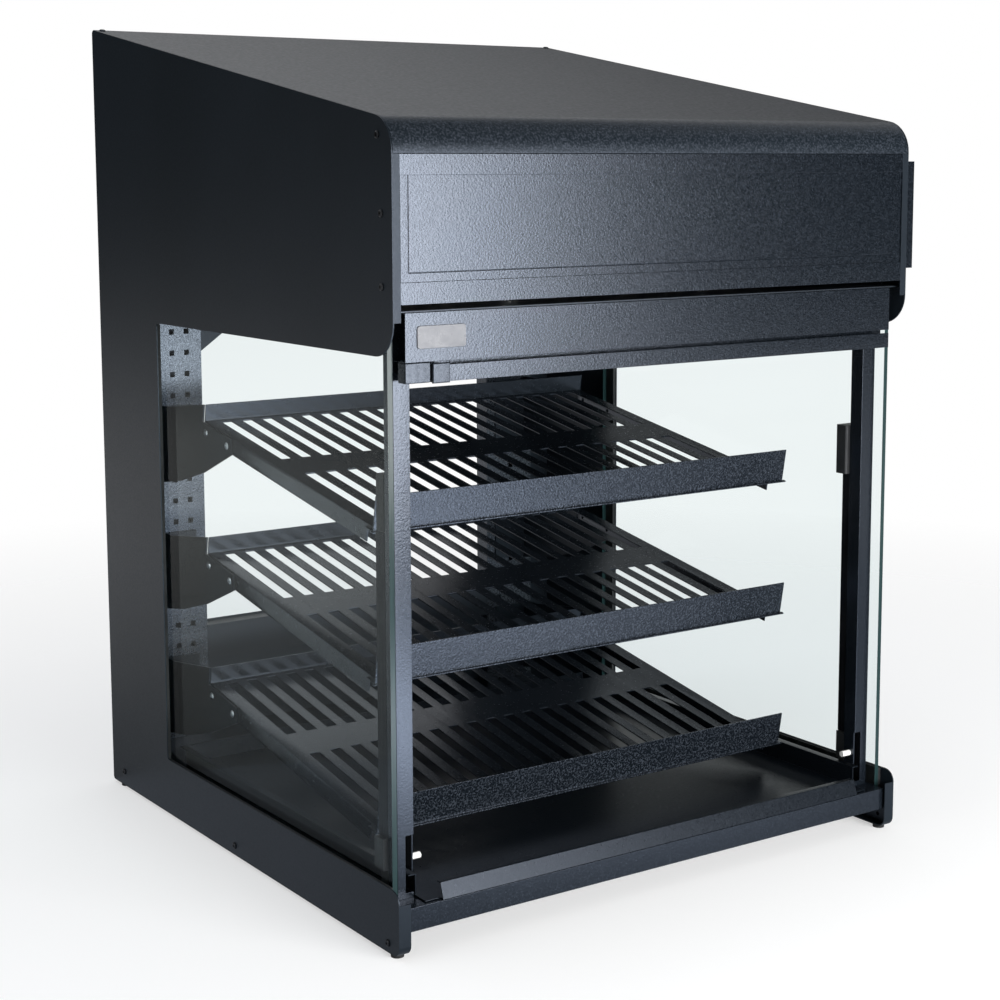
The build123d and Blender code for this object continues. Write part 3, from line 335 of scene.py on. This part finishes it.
def plain_mesh(piece):
    """Applies a piece's modifiers, and leaves a plain mesh."""
    bpy.context.view_layer.update()
    evaluated = piece.evaluated_get(bpy.context.evaluated_depsgraph_get())
    mesh = bpy.data.meshes.new_from_object(evaluated)
    piece.modifiers.clear()
    piece.data = mesh


def softened(name, body, radius, steps=2):
    """Stands for a node, with its cut and folded edges rounded so that they catch the light."""
    mesh = from_node(name)
    data = bpy.data.meshes.new(name + "_folded")
    mesh.to_mesh(data)
    mesh.free()
    piece = bpy.data.objects.new(name + "_folded", data)
    bpy.context.scene.collection.objects.link(piece)
    bevel = piece.modifiers.new("edges", "BEVEL")
    bevel.width = radius
    bevel.segments = steps
    bevel.limit_method = "ANGLE"
    bevel.angle_limit = SHARP_FOLD
    bevel.use_clamp_overlap = True
    bevel.miter_outer = "MITER_ARC"
    weigh = piece.modifiers.new("flat faces", "WEIGHTED_NORMAL")
    weigh.mode = "FACE_AREA_WITH_ANGLE"
    weigh.weight = EVEN_WEIGHT
    for face in data.polygons:
        face.use_smooth = True
    plain_mesh(piece)
    piece.data.materials.clear()
    piece.data.materials.append(nodes[name].data.materials[0])
    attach(piece, body)
    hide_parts(name)


for name in ("side_panel_left", "side_panel_right", "roof_panel", "sign_rail_upper", "sign_rail_lower",
             "valance", "valance_strip", "valance_end_cap", "strip_clip", "front_post_left",
             "front_post_right", "base_deck", "shelf_lip_top", "shelf_lip_middle", "shelf_lip_bottom",
             "rear_frame", "rear_sill", "light_drivers", "light_sockets", "light_bars", "name_plate"):
    softened(name, "case", EDGE_RADIUS)
for name in ("shelf_top", "shelf_middle", "shelf_bottom"):
    softened(name, "case", SHELF_EDGE_RADIUS, 1)
softened("tray", "tray", TRAY_EDGE_RADIUS)
softened("sign_panel", "sign", EDGE_RADIUS)


# Repeated pieces

HEAD_SIDES = 28
ROOF_SLOPE = math.radians(10.0)
HEAD = 1.6 * MM
BOLT_HEAD = 2.4 * MM


class Pattern:
    """A Geometry Nodes tree with named inputs, ended by Realize Instances and Set Material."""

    def __init__(self, name, **inputs):
        self.tree = bpy.data.node_groups.new(name, "GeometryNodeTree")
        self.tree.interface.new_socket("Geometry", in_out="INPUT", socket_type="NodeSocketGeometry")
        self.keys = {}
        for key, value in inputs.items():
            socket = self.tree.interface.new_socket(key, in_out="INPUT", socket_type="NodeSocketFloat")
            socket.default_value = value
            self.keys[key] = socket.identifier
        self.tree.interface.new_socket("Geometry", in_out="OUTPUT", socket_type="NodeSocketGeometry")
        self.source = self.tree.nodes.new("NodeGroupInput")
        self.values = inputs

    def add(self, kind, **settings):
        node = self.tree.nodes.new(kind)
        for key, value in settings.items():
            setattr(node, key, value)
        return node

    def link(self, source, target):
        self.tree.links.new(source, target)

    def value(self, key):
        return self.source.outputs[key]

    def times(self, key, factor):
        node = self.add("ShaderNodeMath", operation="MULTIPLY")
        node.inputs[1].default_value = factor
        self.link(self.value(key), node.inputs[0])
        return node.outputs[0]

    def lift(self, geometry, height):
        node = self.add("GeometryNodeTransform")
        offset = self.add("ShaderNodeCombineXYZ")
        self.link(height, offset.inputs["Z"])
        self.link(geometry, node.inputs["Geometry"])
        self.link(offset.outputs[0], node.inputs["Translation"])
        return node.outputs["Geometry"]

    def finish(self, geometry, material):
        whole = self.add("GeometryNodeRealizeInstances")
        paint = self.add("GeometryNodeSetMaterial")
        paint.inputs["Material"].default_value = material
        out = self.add("NodeGroupOutput")
        self.link(geometry, whole.inputs["Geometry"])
        self.link(whole.outputs["Geometry"], paint.inputs["Geometry"])
        self.link(paint.outputs["Geometry"], out.inputs["Geometry"])

    def build(self, name, data):
        piece = bpy.data.objects.new(name, data)
        bpy.context.scene.collection.objects.link(piece)
        modifier = piece.modifiers.new(self.tree.name, "NODES")
        modifier.node_group = self.tree
        for key, value in self.values.items():
            modifier[self.keys[key]] = value
        plain_mesh(piece)
        return piece


def points_with_normals(name, places):
    """One vertex at each place, carrying the direction that its head faces."""
    data = bpy.data.meshes.new(name)
    data.from_pydata([place for place, _ in places], [], [])
    facing = data.attributes.new("facing", "FLOAT_VECTOR", "POINT")
    for i, (_, direction) in enumerate(places):
        facing.data[i].vector = direction
    return data


def screw_pattern(name, material, recess_sides, **sizes):
    """A low domed head with a driver recess, stood on every vertex along its facing."""
    p = Pattern(name, **sizes)
    rim = p.add("GeometryNodeMeshCylinder")
    rim.inputs["Vertices"].default_value = HEAD_SIDES
    p.link(p.value("Radius"), rim.inputs["Radius"])
    p.link(p.times("Height", 0.5), rim.inputs["Depth"])
    dome = p.add("GeometryNodeMeshCone")
    dome.inputs["Vertices"].default_value = HEAD_SIDES
    p.link(p.times("Radius", 0.68), dome.inputs["Radius Top"])
    p.link(p.value("Radius"), dome.inputs["Radius Bottom"])
    p.link(p.times("Height", 0.5), dome.inputs["Depth"])
    drive = p.add("GeometryNodeMeshCylinder")
    drive.inputs["Vertices"].default_value = recess_sides
    p.link(p.value("Recess"), drive.inputs["Radius"])
    p.link(p.value("Height"), drive.inputs["Depth"])
    body = p.add("GeometryNodeMeshBoolean", operation="UNION")
    p.link(p.lift(rim.outputs["Mesh"], p.times("Height", 0.25)), body.inputs["Mesh 2"])
    p.link(p.lift(dome.outputs["Mesh"], p.times("Height", 0.499)), body.inputs["Mesh 2"])
    head = p.add("GeometryNodeMeshBoolean", operation="DIFFERENCE")
    p.link(body.outputs["Mesh"], head.inputs["Mesh 1"])
    p.link(p.lift(drive.outputs["Mesh"], p.times("Height", 1.1)), head.inputs["Mesh 2"])
    facing = p.add("GeometryNodeInputNamedAttribute", data_type="FLOAT_VECTOR")
    facing.inputs["Name"].default_value = "facing"
    turn = p.add("FunctionNodeAlignRotationToVector", axis="Z")
    p.link(facing.outputs["Attribute"], turn.inputs["Vector"])
    stand = p.add("GeometryNodeInstanceOnPoints")
    p.link(p.value("Geometry"), stand.inputs["Points"])
    p.link(head.outputs["Mesh"], stand.inputs["Instance"])
    p.link(turn.outputs["Rotation"], stand.inputs["Rotation"])
    p.finish(stand.outputs["Instances"], material)
    return p


def solid_boxes(name):
    """The box of each loose solid in a node, in an order that is the same in every run."""
    mesh = from_node(name)
    left = set(mesh.verts)
    found = []
    while left:
        island, queue = [], [left.pop()]
        while queue:
            vert = queue.pop()
            island.append(vert.co.copy())
            for edge in vert.link_edges:
                other = edge.other_vert(vert)
                if other in left:
                    left.remove(other)
                    queue.append(other)
        low = Vector(min(c[i] for c in island) for i in range(3))
        high = Vector(max(c[i] for c in island) for i in range(3))
        found.append((low, high))
    mesh.free()
    return sorted(found, key=lambda box: tuple(box[0]))


def heads_on(name, height):
    """Where the heads of a node's screws stand: on the sides, on the rear face, or on the sloping roof."""
    middle = sum(corner.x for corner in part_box("roof_panel")) / 2
    places = []
    for low, high in solid_boxes(name):
        centre = (low + high) / 2
        size = high - low
        if size.x > max(size.y, size.z):
            way = Vector((1.0 if centre.x > middle else -1.0, 0.0, 0.0))
            reach = size.x / 2
        elif size.y > size.z:
            way = Vector((0.0, 1.0, 0.0))
            reach = size.y / 2
        else:
            way = Vector((0.0, -math.sin(ROOF_SLOPE), math.cos(ROOF_SLOPE)))
            reach = (size.z - size.x * math.sin(ROOF_SLOPE)) / 2 / math.cos(ROOF_SLOPE)
        places.append((tuple(centre + way * (reach - height)), tuple(way)))
    return places


panel_heads = screw_pattern("panel screw", finishes["black_fastener"], 6,
                            Radius=3.4 * MM, Height=HEAD, Recess=1.3 * MM)
data = points_with_normals("panel screws", heads_on("panel_screws", HEAD))
piece = panel_heads.build("panel_screw_heads", data)
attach(piece, "case")
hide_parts("panel_screws")

bolt_heads = screw_pattern("shelf bolt", finishes["bright_steel"], 6,
                           Radius=4.0 * MM, Height=BOLT_HEAD, Recess=1.8 * MM)
data = points_with_normals("shelf bolts", heads_on("shelf_bolts", BOLT_HEAD))
piece = bolt_heads.build("shelf_bolt_heads", data)
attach(piece, "case")
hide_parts("shelf_bolts")


RINGS = 4
GUARD_DROP = 1.2 * MM


def ring_pattern(material, **sizes):
    """Concentric wire rings on crossed rods, as on a fan guard."""
    p = Pattern("fan guard", **sizes)
    line = p.add("GeometryNodeMeshLine", mode="END_POINTS")
    line.inputs["Count"].default_value = RINGS
    first = p.add("ShaderNodeCombineXYZ")
    last = p.add("ShaderNodeCombineXYZ")
    p.link(p.value("Inner"), first.inputs["X"])
    p.link(p.value("Outer"), last.inputs["X"])
    p.link(first.outputs[0], line.inputs["Start Location"])
    p.link(last.outputs[0], line.inputs["Offset"])
    ring = p.add("GeometryNodeCurvePrimitiveCircle")
    ring.inputs["Resolution"].default_value = 40
    ring.inputs["Radius"].default_value = 1.0
    wire = p.add("GeometryNodeCurvePrimitiveCircle")
    wire.inputs["Resolution"].default_value = 6
    p.link(p.value("Wire"), wire.inputs["Radius"])
    where = p.add("GeometryNodeInputPosition")
    apart = p.add("ShaderNodeSeparateXYZ")
    size = p.add("ShaderNodeCombineXYZ")
    p.link(where.outputs[0], apart.inputs[0])
    for axis in "XYZ":
        p.link(apart.outputs["X"], size.inputs[axis])
    rings = p.add("GeometryNodeInstanceOnPoints")
    p.link(line.outputs["Mesh"], rings.inputs["Points"])
    p.link(ring.outputs["Curve"], rings.inputs["Instance"])
    p.link(size.outputs[0], rings.inputs["Scale"])
    back = p.add("GeometryNodeTranslateInstances")
    pull = p.add("ShaderNodeVectorMath", operation="SCALE")
    pull.inputs["Scale"].default_value = -1.0
    p.link(where.outputs[0], pull.inputs[0])
    back.inputs["Local Space"].default_value = False
    p.link(rings.outputs["Instances"], back.inputs["Instances"])
    p.link(pull.outputs[0], back.inputs["Translation"])
    loose = p.add("GeometryNodeRealizeInstances")
    p.link(back.outputs["Instances"], loose.inputs["Geometry"])
    tube = p.add("GeometryNodeCurveToMesh")
    p.link(loose.outputs["Geometry"], tube.inputs["Curve"])
    p.link(wire.outputs["Curve"], tube.inputs["Profile Curve"])
    spokes = p.add("GeometryNodeMeshCircle")
    spokes.inputs["Vertices"].default_value = 4
    p.link(p.times("Outer", 0.5), spokes.inputs["Radius"])
    rod = p.add("GeometryNodeMeshCylinder")
    rod.inputs["Vertices"].default_value = 6
    p.link(p.value("Wire"), rod.inputs["Radius"])
    p.link(p.value("Outer"), rod.inputs["Depth"])
    lay = p.add("GeometryNodeInstanceOnPoints")
    aim = p.add("FunctionNodeAlignRotationToVector", axis="Z")
    p.link(where.outputs[0], aim.inputs["Vector"])
    p.link(spokes.outputs["Mesh"], lay.inputs["Points"])
    p.link(rod.outputs["Mesh"], lay.inputs["Instance"])
    p.link(aim.outputs["Rotation"], lay.inputs["Rotation"])
    whole = p.add("GeometryNodeJoinGeometry")
    p.link(tube.outputs["Mesh"], whole.inputs["Geometry"])
    p.link(lay.outputs["Instances"], whole.inputs["Geometry"])
    stand = p.add("GeometryNodeInstanceOnPoints")
    p.link(p.value("Geometry"), stand.inputs["Points"])
    p.link(whole.outputs["Geometry"], stand.inputs["Instance"])
    p.finish(stand.outputs["Instances"], material)
    return p


under_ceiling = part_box("ceiling_panel")[0].z - GUARD_DROP
fan_middles = []
for rotor in ("fan_rotor_left", "fan_rotor_right"):
    low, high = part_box(rotor)
    fan_middles.append(((low.x + high.x) / 2, (low.y + high.y) / 2, under_ceiling))
guards = ring_pattern(finishes["bright_steel"], Inner=10.0 * MM, Outer=41.0 * MM, Wire=0.9 * MM)
data = bpy.data.meshes.new("fan middles")
data.from_pydata(fan_middles, [], [])
piece = guards.build("fan_guards", data)
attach(piece, "case")


# Camera and studio

scene = bpy.context.scene
scene.view_settings.view_transform = "Standard"

YAW, PITCH, ROLL = math.radians(34.22), math.radians(7.44), math.radians(-0.21)
EYE = Vector((-1.1548, -1.7074, 0.693))
SENSOR = 36.0
FOCAL_RATIO = 1.933
ahead = Vector((math.sin(YAW) * math.cos(PITCH), math.cos(YAW) * math.cos(PITCH), -math.sin(PITCH)))
level_right = Vector((math.cos(YAW), -math.sin(YAW), 0.0))
level_up = level_right.cross(ahead)
right = math.cos(ROLL) * level_right + math.sin(ROLL) * level_up
up = math.cos(ROLL) * level_up - math.sin(ROLL) * level_right
lens = bpy.data.cameras.new("camera")
lens.sensor_width = SENSOR
lens.lens = SENSOR * FOCAL_RATIO
lens.shift_x = 0.010
lens.shift_y = -0.080
lens.clip_end = 100.0
camera = bpy.data.objects.new("camera", lens)
camera.matrix_world = Matrix(((right.x, up.x, -ahead.x, EYE.x), (right.y, up.y, -ahead.y, EYE.y),
                              (right.z, up.z, -ahead.z, EYE.z), (0.0, 0.0, 0.0, 1.0)))
scene.collection.objects.link(camera)
scene.camera = camera


def softbox(name, place, aim, width, height, power, colour=(1.0, 1.0, 1.0)):
    light = bpy.data.lights.new(name, "AREA")
    light.shape = "RECTANGLE"
    light.size = width
    light.size_y = height
    light.energy = power
    light.color = colour
    lamp = bpy.data.objects.new(name, light)
    lamp.location = place
    lamp.rotation_euler = (Vector(aim) - Vector(place)).to_track_quat("-Z", "Y").to_euler()
    scene.collection.objects.link(lamp)


softbox("front softbox", (0.32, -2.1, 0.52), (0.32, 0.0, 0.52), 1.3, 0.94, 70.0)
softbox("front edge", (1.13, -2.1, 0.52), (1.13, 0.0, 0.52), 0.3, 0.94, 2.5)
softbox("top softbox", (-0.3, 0.5, 2.9), (0.0, 0.1, 0.4), 1.8, 1.8, 22.0, (0.80, 0.89, 1.0))
softbox("left fill", (-2.6, 0.2, 1.0), (0.0, 0.0, 0.4), 1.6, 1.2, 13.0)

FILL, WHITE = 0.42, 1.0
FLOOR_RADIUS, FLOOR_DROP = 3.0, 0.4 * MM
PAPER, PAPER_GLOW = 0.5, 0.5
FLAG_RADIUS, FLAG_STEPS = 3.1, 64
FLAG_FOOT_START, FLAG_FOOT_END = 0.02, 0.36
FELT = (0.012, 0.012, 0.013)
CEILING_HEIGHT = 3.9
BOUNCE_RADIUS, BOUNCE_REACH = 1.3, 0.75
BOUNCE_PLACE = (0.05, -0.95, 4 * MM)
BOUNCE_TINT = (0.84, 0.90, 1.0, 1.0)
BOUNCE_EDGE, BOUNCE_MIDDLE = 0.5, 16.0

world = bpy.data.worlds.new("studio")
scene.world = world
world.use_nodes = True
air = world.node_tree
sky = air.nodes["Background"]
path = air.nodes.new("ShaderNodeLightPath")
seen = air.nodes.new("ShaderNodeMath")
seen.operation = "MAXIMUM"
seen_too = air.nodes.new("ShaderNodeMath")
seen_too.operation = "MAXIMUM"
level = air.nodes.new("ShaderNodeMapRange")
level.inputs["To Min"].default_value = FILL
level.inputs["To Max"].default_value = WHITE
air.links.new(path.outputs["Is Camera Ray"], seen.inputs[0])
air.links.new(path.outputs["Is Glossy Ray"], seen.inputs[1])
air.links.new(seen.outputs[0], seen_too.inputs[0])
air.links.new(path.outputs["Is Transmission Ray"], seen_too.inputs[1])
air.links.new(seen_too.outputs[0], level.inputs["Value"])
air.links.new(level.outputs["Result"], sky.inputs["Strength"])
sky.inputs["Color"].default_value = (1.0, 1.0, 1.0, 1.0)


def disc(name, radius, place, segments, material):
    mesh = bmesh.new()
    bmesh.ops.create_circle(mesh, cap_ends=True, radius=radius, segments=segments)
    data = bpy.data.meshes.new(name)
    mesh.to_mesh(data)
    mesh.free()
    data.materials.append(material)
    piece = bpy.data.objects.new(name, data)
    piece.location = place
    scene.collection.objects.link(piece)
    return piece


def reflection_only(card):
    for kind in ("camera", "diffuse", "transmission", "shadow", "volume_scatter"):
        setattr(card, "visible_" + kind, False)


def matt(name, colour, roughness):
    """A surface with no gloss of its own."""
    cloth = Shader(name, colour, roughness)
    cloth.set("Specular IOR Level", 0.0)
    return cloth


def show_through(shader, share):
    """Lets what lies behind show where the share is low."""
    clear = shader.add("ShaderNodeBsdfTransparent")
    blend = shader.add("ShaderNodeMixShader")
    shader.link(share, blend.inputs["Fac"])
    shader.link(clear.outputs["BSDF"], blend.inputs[1])
    shader.link(shader.surface.outputs["BSDF"], blend.inputs[2])
    shader.link(blend.outputs["Shader"], shader.output.inputs["Surface"])


def from_middle(shader):
    """How far a point lies from the middle of its piece."""
    length = shader.add("ShaderNodeVectorMath", operation="LENGTH")
    shader.link(shader.place, length.inputs[0])
    return length.outputs["Value"]


def studio_floor():
    """A white floor that keeps the shadow near the object and fades into the white backdrop."""
    paper = matt("floor paper", (PAPER, PAPER, PAPER), 0.9)
    rays = paper.add("ShaderNodeLightPath")
    glow = paper.add("ShaderNodeMapRange")
    glow.inputs["To Min"].default_value = 0.0
    glow.inputs["To Max"].default_value = PAPER_GLOW
    paper.link(rays.outputs["Is Camera Ray"], glow.inputs["Value"])
    paper.set("Emission Color", (1.0, 1.0, 1.0, 1.0))
    paper.link(glow.outputs["Result"], paper.surface.inputs["Emission Strength"])
    show_through(paper, paper.remap(from_middle(paper), 1.0, 0.0, 0.6, 1.9))
    floor = disc("floor", FLOOR_RADIUS, (0.0, 0.0, -FLOOR_DROP), 96, paper.material)


def black_flags():
    """Dark cards round the set, seen only in reflections, so that the coat stays black beside the softboxes.

    They are tall at the front. Behind, at the right, a gap below them leaves the white to the tray.
    """
    ring = bmesh.new()
    rows = []
    for i in range(FLAG_STEPS):
        turn = 2 * math.pi * i / FLAG_STEPS
        front = 0.5 - 0.5 * math.cos(turn)
        gap = 1.2 * min(1.0, max(0.0, math.cos(turn - math.radians(45)) * 3.0 - 1.8))
        x, y = FLAG_RADIUS * math.sin(turn), FLAG_RADIUS * math.cos(turn)
        rows.append((ring.verts.new((x, y, gap)), ring.verts.new((x, y, 1.75 + 2.05 * front))))
    for (a, b), (c, d) in zip(rows, rows[1:] + rows[:1]):
        ring.faces.new((a, b, d, c))
    data = bpy.data.meshes.new("flags")
    ring.to_mesh(data)
    ring.free()
    felt = matt("flag felt", FELT, 0.95)
    height = felt.add("ShaderNodeSeparateXYZ")
    felt.link(felt.place, height.inputs["Vector"])
    show_through(felt, felt.remap(height.outputs["Z"], 0.0, 1.0, FLAG_FOOT_START, FLAG_FOOT_END))
    data.materials.append(felt.material)
    cards = bpy.data.objects.new("flags", data)
    scene.collection.objects.link(cards)
    reflection_only(cards)


def ceiling_card():
    """A dark ceiling seen only in reflections, so that the round nose of the roof stays black."""
    felt = matt("ceiling felt", FELT, 0.95)
    reflection_only(disc("ceiling card", FLAG_RADIUS, (0.0, 0.0, CEILING_HEIGHT), 64, felt.material))


def bounce_card():
    """A card on the floor in front, bright at its middle, that the sloping lips reflect."""
    paper = matt("bounce paper", (0.0, 0.0, 0.0), 0.9)
    paper.set("Emission Color", BOUNCE_TINT)
    soft = paper.add("ShaderNodeMath", operation="POWER")
    soft.inputs[1].default_value = 2.5
    paper.link(paper.remap(from_middle(paper), 1.0, 0.0, 0.0, BOUNCE_REACH), soft.inputs[0])
    glow = paper.remap(soft.outputs[0], BOUNCE_EDGE, BOUNCE_MIDDLE, 0.0, 1.0)
    paper.link(glow, paper.surface.inputs["Emission Strength"])
    reflection_only(disc("bounce card", BOUNCE_RADIUS, BOUNCE_PLACE, 64, paper.material))


studio_floor()
black_flags()
ceiling_card()
bounce_card()
